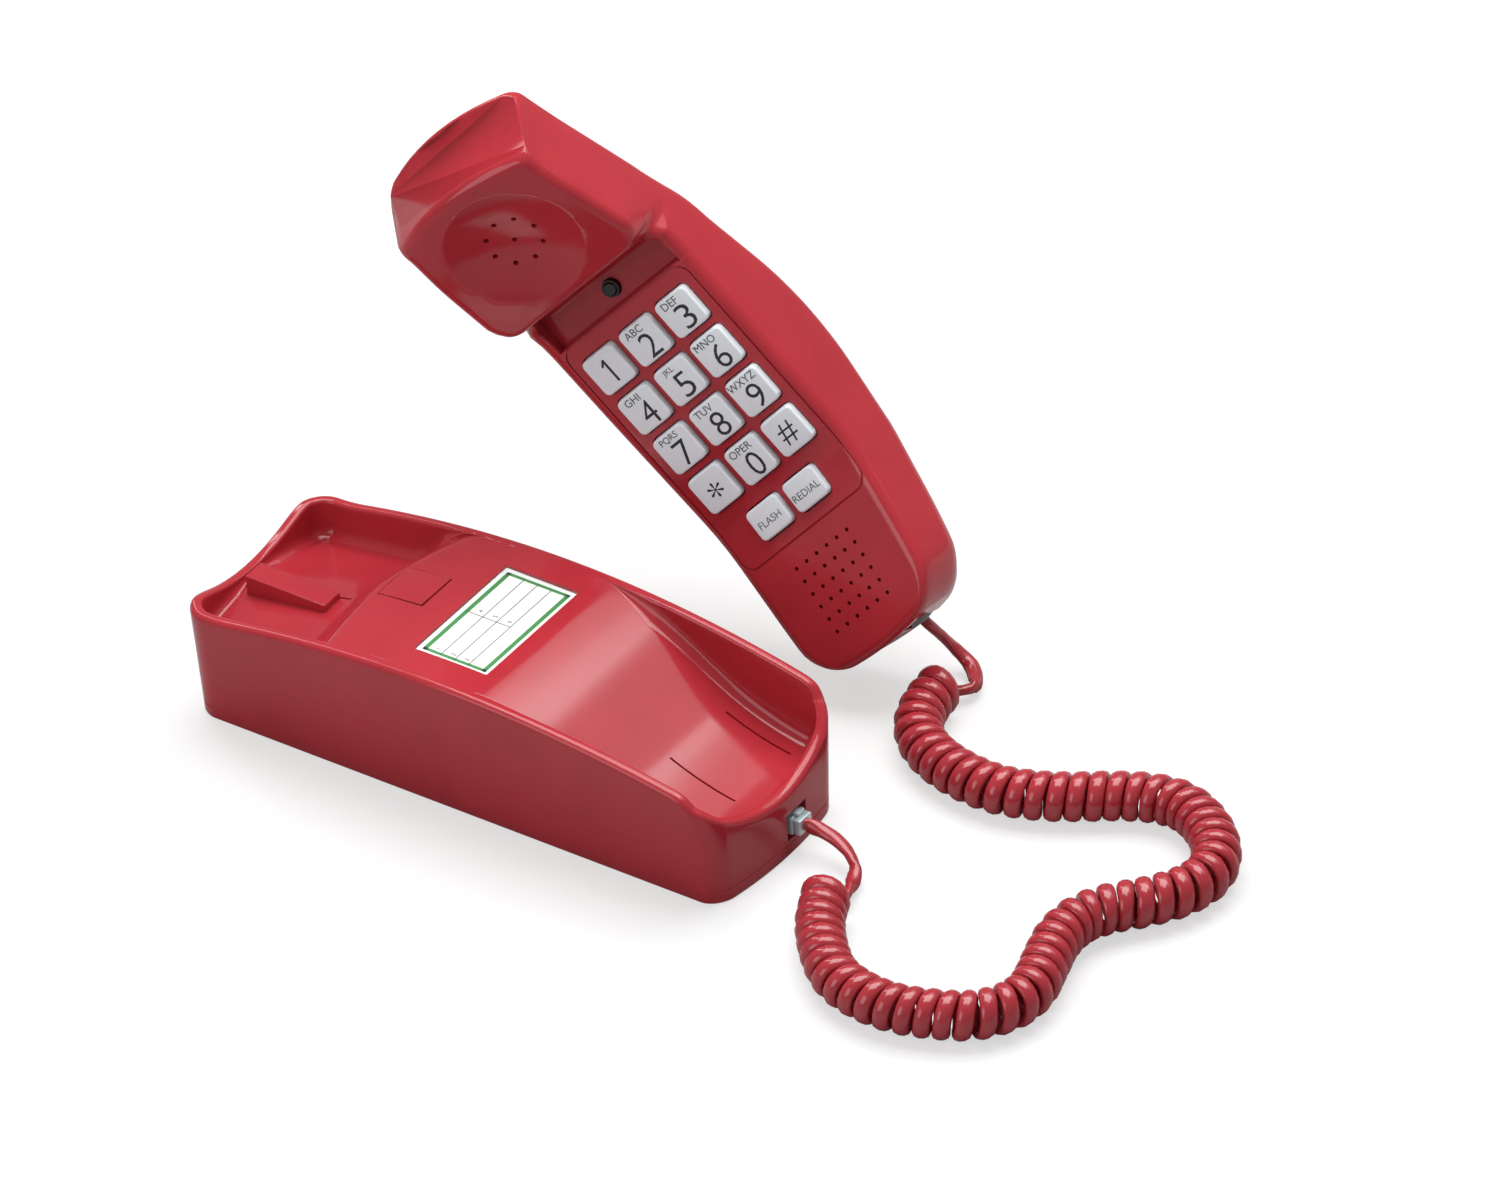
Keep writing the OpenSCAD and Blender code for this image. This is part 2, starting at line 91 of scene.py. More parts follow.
@dataclass(frozen=True)
class Finish:
    """A procedural finish with uneven gloss, faint colour drift and fine relief."""

    name: str
    colour: Colour
    roughness: float
    grain: Grain = Grain.SATIN
    metallic: float = 0.0
    coat: float = 0.0
    specular: float = 0.5
    drift: float = 0.06
    alpha: float = 1.0
    transmission: float = 0.0

    def build(self) -> bpy.types.Material:
        """Make the material.

        Returns:
            The node-based material.
        """
        mat = bpy.data.materials.new(self.name)
        mat.use_nodes = True
        nodes, links = mat.node_tree.nodes, mat.node_tree.links
        shader = nodes["Principled BSDF"]
        shader.inputs["Metallic"].default_value = self.metallic
        shader.inputs["Coat Weight"].default_value = self.coat
        shader.inputs["Coat Roughness"].default_value = 0.06
        shader.inputs["Specular IOR Level"].default_value = self.specular
        shader.inputs["Alpha"].default_value = self.alpha
        shader.inputs["Transmission Weight"].default_value = self.transmission
        where = nodes.new("ShaderNodeTexCoord")
        cloud = nodes.new("ShaderNodeTexNoise")
        cloud.inputs["Scale"].default_value = 38.0
        cloud.inputs["Detail"].default_value = 5.0
        links.new(where.outputs["Object"], cloud.inputs["Vector"])
        tint = nodes.new("ShaderNodeValToRGB")
        low, high = tint.color_ramp.elements
        low.position, high.position = 0.3, 0.7
        low.color = tuple(c * (1 - self.drift) for c in self.colour) + (1.0,)
        high.color = tuple(min(1.0, c * (1 + self.drift)) for c in self.colour) + (1.0,)
        links.new(cloud.outputs["Fac"], tint.inputs["Fac"])
        links.new(tint.outputs["Color"], shader.inputs["Base Color"])
        rub = nodes.new("ShaderNodeTexNoise")
        rub.inputs["Scale"].default_value = 210.0
        rub.inputs["Detail"].default_value = 4.0
        links.new(where.outputs["Object"], rub.inputs["Vector"])
        gloss = nodes.new("ShaderNodeMapRange")
        gloss.inputs["To Min"].default_value = self.roughness * 0.85
        gloss.inputs["To Max"].default_value = min(1.0, self.roughness * 1.2)
        links.new(rub.outputs["Fac"], gloss.inputs["Value"])
        links.new(gloss.outputs["Result"], shader.inputs["Roughness"])
        scale, height = self.grain.value
        fine = nodes.new("ShaderNodeTexNoise")
        fine.inputs["Scale"].default_value = scale
        fine.inputs["Detail"].default_value = 3.0
        links.new(where.outputs["Object"], fine.inputs["Vector"])
        relief = nodes.new("ShaderNodeBump")
        relief.inputs["Strength"].default_value = 0.6
        relief.inputs["Distance"].default_value = height
        links.new(fine.outputs["Fac"], relief.inputs["Height"])
        links.new(relief.outputs["Normal"], shader.inputs["Normal"])
        return mat


@dataclass(frozen=True)
class Paint:
    """All the finishes of the telephone, built once and kept by name."""

    red: Finish = Finish("red_gloss_shell", (0.45, 0.03, 0.042), 0.12, Grain.POLISHED, specular=0.4)
    inner_red: Finish = Finish("dark_red_base_plate", (0.25, 0.03, 0.038), 0.42)
    cord: Finish = Finish("red_cord_vinyl", (0.42, 0.03, 0.042), 0.16, Grain.POLISHED, specular=0.6)
    key: Finish = Finish("pale_grey_key", (0.86, 0.93, 0.98), 0.35, specular=0.3, drift=0.02)
    ink: Finish = Finish("key_digit_ink", (0.02, 0.024, 0.028), 0.5)
    soft_ink: Finish = Finish("key_letter_ink", (0.07, 0.08, 0.09), 0.5)
    clear: Finish = Finish("clear_plug", (0.5, 0.67, 0.7), 0.12, transmission=0.35, drift=0.03)
    film: Finish = Finish("clear_card_film", (0.9, 0.95, 0.95), 0.08, alpha=0.04, specular=0.1, drift=0.01)
    card: Finish = Finish("white_card", (0.86, 0.89, 0.87), 0.62, Grain.RUBBER, drift=0.02)
    green: Finish = Finish("green_card_ink", (0.012, 0.24, 0.03), 0.55)
    black: Finish = Finish("black_moulding", (0.02, 0.021, 0.024), 0.35)
    rubber: Finish = Finish("black_rubber", (0.022, 0.021, 0.021), 0.75, Grain.RUBBER)
    grey_rubber: Finish = Finish("grey_rubber_mat", (0.12, 0.12, 0.13), 0.7, Grain.RUBBER)
    hook: Finish = Finish("dark_hook_button", (0.012, 0.02, 0.018), 0.18)
    steel: Finish = Finish("plated_steel", (0.55, 0.55, 0.57), 0.28, metallic=1.0)
    iron: Finish = Finish("cast_iron", (0.13, 0.13, 0.14), 0.6, Grain.CAST, metallic=0.8)
    gold: Finish = Finish("gold_contact", (0.83, 0.6, 0.22), 0.2, metallic=1.0)
    board: Finish = Finish("green_board", (0.03, 0.16, 0.06), 0.4)
    floor: Finish = Finish("pale_floor", (0.93, 0.93, 0.93), 0.9, drift=0.004)


_made: dict[str, bpy.types.Material] = {}


def material(finish: Finish) -> bpy.types.Material:
    """Give the material of a finish, making it the first time it is asked for."""
    if finish.name not in _made:
        _made[finish.name] = finish.build()
    return _made[finish.name]


# ---------------------------------------------------------------- mesh helpers
def clamp(value: float, low: float = 0.0, high: float = 1.0) -> float:
    """Keep a value between two limits."""
    return max(low, min(high, value))


def smooth(value: float) -> float:
    """Ease a value from 0 to 1 with level ends."""
    value = clamp(value)
    return value * value * (3 - 2 * value)


def soft_min(a: float, b: float, blend: float) -> float:
    """Give the smaller of two values, rounded where they meet."""
    gap = clamp(0.5 + 0.5 * (b - a) / blend)
    return b + (a - b) * gap - blend * gap * (1 - gap)


def lookup(x: float, table: Sequence[Point]) -> float:
    """Read a straight-line table of (x, value) at x."""
    if x <= table[0][0]:
        return table[0][1]
    for (x0, v0), (x1, v1) in zip(table, table[1:]):
        if x <= x1:
            return v0 + (v1 - v0) * (x - x0) / (x1 - x0)
    return table[-1][1]


def rounded_path(corners: Sequence[tuple[float, float, float]], steps: int) -> list[Point]:
    """Round the corners of an open path.

    Args:
        corners: Corners as (x, z, radius); the two end points are kept sharp.
        steps: Points on each rounded corner.

    Returns:
        The points of the path.
    """
    path = [corners[0][:2]]
    for before, here, after in zip(corners, corners[1:], corners[2:]):
        q = Vector(here[:2])
        a = (Vector(before[:2]) - q).normalized()
        b = (Vector(after[:2]) - q).normalized()
        half = a.angle(b) / 2
        centre = q + (a + b).normalized() * here[2] / math.sin(half)
        start = q + a * here[2] / math.tan(half) - centre
        stop = q + b * here[2] / math.tan(half) - centre
        sweep = math.atan2(start.x * stop.y - start.y * stop.x, start.dot(stop))
        for k in range(steps + 1):
            turned = Matrix.Rotation(sweep * k / steps, 2) @ start + centre
            path.append((turned.x, turned.y))
    path.append(corners[-1][:2])
    return path


def wrap(cols: int, rows: int, place: Callable[[int, int], Vector]) -> bmesh.types.BMesh:
    """Lay a grid over a surface.

    Args:
        cols: Squares along the first direction.
        rows: Squares along the second direction.
        place: Gives the point of each grid corner, in millimetres.

    Returns:
        The mesh in metres, with meeting points merged.
    """
    bm = bmesh.new()
    bmesh.ops.create_grid(bm, x_segments=cols, y_segments=rows, size=0.5)
    for v in bm.verts:
        v.co = place(round((v.co.x + 0.5) * cols), round((v.co.y + 0.5) * rows)) * MM
    bmesh.ops.remove_doubles(bm, verts=bm.verts, dist=2e-6)
    return bm


def rounded_block(size: Sequence[float], at: Sequence[float], corner: float, edge: float,
                  segments: int = 4) -> bmesh.types.BMesh:
    """Make a block with rounded upright corners and softened top and bottom edges.

    Args:
        size: Length, width and height in millimetres.
        at: Centre in millimetres.
        corner: Radius of the upright corners.
        edge: Radius along the top and bottom.
        segments: Steps on each upright corner.

    Returns:
        The mesh in metres.
    """
    bm = bmesh.new()
    bmesh.ops.create_cube(bm, size=1.0)
    bmesh.ops.scale(bm, vec=[s * MM for s in size], verts=bm.verts)
    if corner > 0:
        upright = [e for e in bm.edges if abs(e.verts[0].co.z - e.verts[1].co.z) > 1e-6]
        bmesh.ops.bevel(bm, geom=upright, offset=corner * MM, segments=segments, profile=0.5,
                        affect="EDGES", material=-1)
    if edge > 0:
        level = [e for e in bm.edges if abs(e.verts[0].co.z - e.verts[1].co.z) < 1e-6
                 and len({round(f.normal.z) for f in e.link_faces}) == 2]
        bmesh.ops.bevel(bm, geom=level, offset=edge * MM, segments=3, profile=0.5,
                        affect="EDGES", material=-1, clamp_overlap=True)
    bmesh.ops.translate(bm, vec=[c * MM for c in at], verts=bm.verts)
    return bm


def merged(parts: Iterable[bmesh.types.BMesh], slot: Optional[int] = None) -> bmesh.types.BMesh:
    """Join meshes into one.

    Args:
        parts: The meshes; each is freed.
        slot: Material slot given to every face; each face keeps its own when left out.

    Returns:
        The joined mesh.
    """
    whole = bmesh.new()
    for part in parts:
        if slot is not None:
            for face in part.faces:
                face.material_index = slot
        spare = bpy.data.meshes.new("spare")
        part.to_mesh(spare)
        part.free()
        whole.from_mesh(spare)
        bpy.data.meshes.remove(spare)
    return whole


def lettering(text: str, height: float, at: Point, level: float, thin: float = 0.0,
              width: Optional[float] = None) -> bmesh.types.BMesh:
    """Make raised flat lettering that reads along +y with its top towards -x.

    Args:
        text: The characters.
        height: Height of the lettering in millimetres.
        at: Centre of the lettering in millimetres.
        level: Height of its underside in millimetres.
        thin: How much each stroke is thinned, as a share of the letter size.
        width: Width it is fitted to, in millimetres; the font's own when left out.

    Returns:
        The mesh in metres.
    """
    curve = bpy.data.curves.new("lettering", "FONT")
    curve.body, curve.size, curve.offset, curve.extrude = text, 1.0, -thin, 0.004
    curve.resolution_u = 3
    holder = bpy.data.objects.new("lettering", curve)
    bpy.context.scene.collection.objects.link(holder)
    bpy.context.view_layer.update()
    mesh = bpy.data.meshes.new_from_object(holder.evaluated_get(
        bpy.context.evaluated_depsgraph_get()))
    bpy.data.objects.remove(holder)
    bpy.data.curves.remove(curve)
    bm = bmesh.new()
    bm.from_mesh(mesh)
    bpy.data.meshes.remove(mesh)
    bmesh.ops.remove_doubles(bm, verts=bm.verts, dist=1e-5)
    xs, ys = [v.co.x for v in bm.verts], [v.co.y for v in bm.verts]
    up = height / (max(ys) - min(ys))
    along = width / (max(xs) - min(xs)) if width else up
    middle = Vector(((max(xs) + min(xs)) / 2, (max(ys) + min(ys)) / 2, 0))
    bmesh.ops.translate(bm, vec=-middle, verts=bm.verts)
    for v in bm.verts:
        v.co = Vector((at[0] - v.co.y * up, at[1] + v.co.x * along,
                       level + (0.05 if v.co.z > 0 else 0.0))) * MM
    return bm


def cut(bm: bmesh.types.BMesh, cutter: bmesh.types.BMesh) -> bmesh.types.BMesh:
    """Cut one closed mesh out of another.

    Args:
        bm: The mesh that is cut; it is freed.
        cutter: The mesh that is taken away; it is freed.

    Returns:
        The mesh that is left.
    """
    holders = []
    for part in (bm, cutter):
        bmesh.ops.recalc_face_normals(part, faces=part.faces)
        mesh = bpy.data.meshes.new("blank")
        part.to_mesh(mesh)
        part.free()
        holder = bpy.data.objects.new("blank", mesh)
        bpy.context.scene.collection.objects.link(holder)
        holders.append(holder)
    tool = holders[0].modifiers.new("cut", "BOOLEAN")
    tool.operation, tool.object, tool.solver = "DIFFERENCE", holders[1], "EXACT"
    bpy.context.view_layer.update()
    result = bpy.data.meshes.new_from_object(holders[0].evaluated_get(
        bpy.context.evaluated_depsgraph_get()))
    for holder in holders:
        mesh = holder.data
        bpy.data.objects.remove(holder)
        bpy.data.meshes.remove(mesh)
    left = bmesh.new()
    left.from_mesh(result)
    bpy.data.meshes.remove(result)
    return left


def smooth_object(name: str, bm: bmesh.types.BMesh, finishes: Sequence[Finish]) -> bpy.types.Object:
    """Turn a mesh into a smooth-shaded object in the scene.

    Args:
        name: Name of the object.
        bm: Its mesh in metres; it is freed.
        finishes: Finishes in the order of the mesh's material slots.

    Returns:
        The new object.
    """
    bmesh.ops.recalc_face_normals(bm, faces=bm.faces)
    mesh = bpy.data.meshes.new(name)
    bm.to_mesh(mesh)
    bm.free()
    for finish in finishes:
        mesh.materials.append(material(finish))
    for face in mesh.polygons:
        face.use_smooth = True
    piece = bpy.data.objects.new(name, mesh)
    bpy.context.scene.collection.objects.link(piece)
    return piece


def finish_piece(name: str, bm: bmesh.types.BMesh, finishes: Sequence[Finish], body: str,
                 replaces: Sequence[str] = (), crease: float = 35.0,
                 turn: Optional[Matrix] = None) -> bpy.types.Object:
    """Turn a mesh into a finished piece that rides on a body.

    Args:
        name: Name of the piece.
        bm: Its mesh in metres; it is freed.
        finishes: Finishes in the order of the mesh's material slots.
        body: Body it rides on.
        replaces: CAD nodes it stands for.
        crease: Angle in degrees past which an edge stays sharp.
        turn: Placing of the mesh before it rides.

    Returns:
        The new object.
    """
    if turn is not None:
        bm.transform(turn)
    piece = smooth_object(name, bm, finishes)
    piece.data.set_sharp_from_angle(angle=math.radians(crease))
    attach(piece, body)
    if replaces:
        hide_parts(*replaces)
    log.info("%s: %d faces", name, len(piece.data.polygons))
    return piece


# ---------------------------------------------------------------- base
@dataclass
class Cradle:
    """The base: a flaring shell with an arched rim and a hollow for each handset end."""

    half_length: float = 105.0
    lean: float = -1.0
    foot_half_width: float = 33.5
    flare: float = 0.12
    corner: Point = (8.0, 3.0)
    bow: Point = (450.0, 150.0)
    rim_height: float = 54.0
    rim_radius: float = 426.0
    wall: float = 4.3
    outer_round: float = 2.4
    inner_round: float = 1.1
    hollow_round: float = 5.0
    along: int = 150
    across: int = 40
    around: int = 16
    plate_recess: tuple[Point, ...] = (
        (3.4, 4.2), (3.4, 0.0), (0.7, 0.0), (0.2, 0.2), (0.0, 0.7), (0.0, 4.4),
        (0.25, 4.6), (0.25, 4.9), (0.0, 5.1))
    side_rings: int = 5
    over_rings: int = 7
    lip_rings: int = 4
    wall_rings: int = 4
    bend_rings: int = 9
    receiver_floor: list[Point] = field(default_factory=lambda: [
        (-112, 34.2), (-97, 36), (-64, 40.5), (-58, 42.6), (-50.5, 51), (-47, 54), (-40, 58), (0, 70)])
    transmitter_floor: list[Point] = field(default_factory=lambda: [
        (0, 60), (8, 55.6), (14, 53.9), (22, 51.4), (30, 48.2), (37, 44.8), (45, 40.4), (56, 33.8),
        (67, 27.9), (74, 25.1), (80, 23.2), (86, 21.6), (93, 20.4), (110, 19.4)])

    def arc(self, x: float) -> float:
        """Height of the long arc of the rim."""
        return self.rim_height - x * x / (2 * self.rim_radius)

    def rim(self, x: float, y: float) -> float:
        """Height of the rim at a point of the outline."""
        arc = -soft_min(-self.arc(x), -44.6 if x < 0 else -30.0, 1.2)
        if x > 60:
            return soft_min(arc, 82 - math.sqrt(max(1.0, 57 * 57 - y * y)) + 0.9 * max(0.0, 98 - x), 3.0)
        if x < -60:
            return soft_min(arc, 98 - math.sqrt(3600 - y * y) + 0.7 * max(0.0, x + 100), 3.0)
        return arc

    def floor(self, x: float, y: float = 0.0) -> float:
        """Height of the top surface inside the rim."""
        if x < -20:
            off = y + 1
            fall = 0.152 * (math.sqrt(off * off + 16) - 4) + 0.04 * off
            low = sum(lookup(x + d, self.receiver_floor) for d in (-2, 0, 2)) / 3 - fall
        else:
            low = self.eased(x)
        return soft_min(low, self.rim(clamp(x, -101, 60), 0) if x > 0 else self.arc(x), 0.8)

    def eased(self, x: float) -> float:
        """Smooth reading of the mouthpiece hollow's floor."""
        return sum(lookup(x + d, self.transmitter_floor) for d in (-4, -2, 0, 2, 4)) / 5

    def outline(self, n: int, inset: float, height: float) -> Vector:
        """Point n of the plan outline, moved inwards, at a height.

        Args:
            n: Number of the point, counted from the middle of the corner at -x, -y.
            inset: Distance inwards.
            height: Height that sets the flare and the lean.

        Returns:
            The point, with its height.
        """
        long, wide = self.half_length - self.lean * height / 45, \
            self.foot_half_width + self.flare * height
        half, r = self.around // 2, max(1.0, self.corner[0] + self.corner[1] * height / 45 - inset)
        long, wide = long - inset, wide - inset
        sides = [(self.along, -90, (1, 0), (-1, -1)), (self.across, 0, (0, 1), (1, -1)),
                 (self.along, 90, (-1, 0), (1, 1)), (self.across, 180, (0, -1), (-1, 1))]
        n %= self.count
        for straight, facing, run, start in sides:
            if n < straight + 2 * half:
                break
            n -= straight + 2 * half
        corner_at = Vector((start[0] * (long - r), start[1] * (wide - r)))
        span = 2 * ((long - r) if run[0] else (wide - r))
        if n < half:
            turn = facing - 45 * (1 - n / half)
            base = corner_at
        elif n <= half + straight:
            turn = facing
            base = corner_at + Vector(run) * span * (n - half) / straight
        else:
            turn = facing + 45 * (n - half - straight) / half
            base = corner_at + Vector(run) * span
        turn = math.radians(turn)
        x, y = base.x + r * math.cos(turn), base.y + r * math.sin(turn)
        x -= math.copysign(y * y / (2 * self.bow[x > 0]) * (abs(x) / long) ** 6, x)
        x += 1.3 * smooth((x - 60) / 40)
        return Vector((x, y, height))

    @property
    def count(self) -> int:
        """Points around the outline."""
        return 2 * (self.along + self.across) + 4 * self.around

    def ring(self, n: int, k: int) -> Vector:
        """Point n of ring k, from the recess of the base plate up, over the rim and in."""
        if k < len(self.plate_recess):
            return self.outline(n, *self.plate_recess[k])
        k -= len(self.plate_recess)
        guide = self.outline(n, 0, 44)
        rim = self.rim(guide.x, guide.y)
        inner = self.outline(n, self.wall + self.hollow_round, 30)
        low = min(self.floor(inner.x, inner.y), rim)
        depth = rim - low
        bend = self.hollow_round if inner.x > 0 else 3.0
        share = min(1.0, depth / (self.inner_round + bend))
        lip_r, bend = self.inner_round * share, bend * share
        if k < self.side_rings:
            foot = self.plate_recess[-1][1]
            climb = (rim - self.outer_round - foot) * (k + 1) / (self.side_rings + 1)
            return self.outline(n, 0, foot + climb)
        k -= self.side_rings
        if k < self.over_rings:
            a = math.pi / 2 * k / (self.over_rings - 1)
            return self.outline(n, self.outer_round * (1 - math.cos(a)),
                                rim - self.outer_round * (1 - math.sin(a)))
        k -= self.over_rings
        if k < self.lip_rings:
            a = math.pi / 2 * k / (self.lip_rings - 1)
            return self.outline(n, self.wall - lip_r * (1 - math.sin(a)),
                                rim - lip_r * (1 - math.cos(a)))
        k -= self.lip_rings
        if k < self.wall_rings:
            height = rim - lip_r - (depth - lip_r - bend) * (k + 1) / self.wall_rings
            point = self.outline(n, self.wall + 0.02 * (rim - height), rim)
            return Vector((point.x, point.y, height))
        k -= self.wall_rings
        a = math.pi / 2 * (k + 1) / self.bend_rings
        point = self.outline(n, self.wall + 0.02 * depth + (bend + 0.01) * (1 - math.cos(a)), rim)
        height = low + bend * (1 - math.sin(a))
        if k == self.bend_rings - 1:
            height = min(self.floor(point.x, point.y), rim)
        return Vector((point.x, point.y, height))

    def shell(self) -> bmesh.types.BMesh:
        """Make the closed outer skin: the rings round it and the grid inside the last ring."""
        rings = (len(self.plate_recess) + self.side_rings + self.over_rings + self.lip_rings
                 + self.wall_rings + self.bend_rings)
        sides = wrap(self.count, rings - 1, lambda n, k: self.ring(n, k))
        long, wide = self.along + self.around, self.across + self.around
        edge = [self.ring(n, rings - 1) for n in range(self.count)]

        def patch(i: int, j: int) -> Vector:
            """Blend the four sides of the last ring over the grid."""
            s, t = i / long, j / wide
            south, north = edge[i], edge[(2 * long + wide - i) % self.count]
            east, west = edge[(long + j) % self.count], edge[(-j) % self.count]
            corners = (edge[0] * (1 - s) * (1 - t) + edge[long] * s * (1 - t)
                       + edge[long + wide] * s * t + edge[2 * long + wide] * (1 - s) * t)
            point = south * (1 - t) + north * t + west * (1 - s) + east * s - corners
            if 0 < i < long and 0 < j < wide:
                point.z = self.floor(point.x, point.y)
            return point

        whole = merged([sides, wrap(long, wide, patch)])
        bmesh.ops.remove_doubles(whole, verts=whole.verts, dist=5e-6)
        bmesh.ops.holes_fill(whole, edges=whole.edges, sides=0)
        return whole

    def grooves(self) -> list[bmesh.types.BMesh]:
        """Make the cutters of the two long grooves and the short one beside the tongue."""
        bars = []
        for y, x0, x1, steps in ((25.0, 67, 92, 12), (-5.0, 66, 91, 12), (-1.8, -66.5, -61.5, 2)):
            step = (x1 - x0) / steps
            for k in range(steps):
                a, b = x0 + step * k, x0 + step * (k + 1)
                run, drop = b - a, self.floor(a) - self.floor(b)
                bar = rounded_block((math.hypot(run, drop) + 0.15, 0.8, 1.6), (0, 0, 0), 0, 0)
                middle = Vector(((a + b) / 2, y, (self.floor(a) + self.floor(b)) / 2)) * MM
                bar.transform(Matrix.Translation(middle) @ Matrix.Rotation(math.atan2(drop, run), 4, "Y"))
                bars.append(bar)
        return bars

    def build(self) -> None:
        """Make the base shell with its openings, grooves and tongue."""
        bm = self.shell()
        card_recess = rounded_block((29, 52, 8), (-4.5, 0, 56.5), 0.6, 0)
        tab_seat = rounded_block((17.95, 17.0, 12), (-38.975, 2.9, 55.1), 0.3, 0)
        tab_slot = rounded_block((4.6, 13, 20), (-39.7, 2.9, 48), 0, 0)
        cord_inlet = rounded_block((30, 11.2, 10.4), (105, 7, 11.2), 0.6, 0)
        switch_slot = rounded_block((16, 14, 7), (-58, 35, 15.5), 0.6, 0)
        line_inlet = rounded_block((24, 13.6, 10), (-100, 0, 10), 0.6, 0)
        for tool in (card_recess, tab_seat, tab_slot, cord_inlet, switch_slot, line_inlet, *self.grooves()):
            bm = cut(bm, tool)
        tongue = rounded_block((31.5, 8.8, 18.5), (-81.75, -6.2, 33.25), 0.5, 0.3, 3)
        finish_piece("cradle_shell", merged([bm, tongue]), [Paint().red], "base",
                     ["base_cradle"], crease=40)


# ---------------------------------------------------------------- handset
HANDSET = (Matrix.Translation(Vector((15.05, 90.4, 92.65)) * MM)
           @ Matrix.Rotation(math.radians(4.84), 4, "Z")
           @ Matrix.Rotation(math.radians(43.7), 4, "Y")
           @ Matrix.Rotation(math.radians(73), 4, "X"))
EAR = (Matrix.Translation(Vector((-80.5, 0, 20.6)) * MM)
       @ Matrix.Rotation(math.radians(27), 4, "Y"))
MOUTH = (Matrix.Translation(Vector((74, 0, 10)) * MM)
         @ Matrix.Rotation(math.radians(-17.3), 4, "Y"))


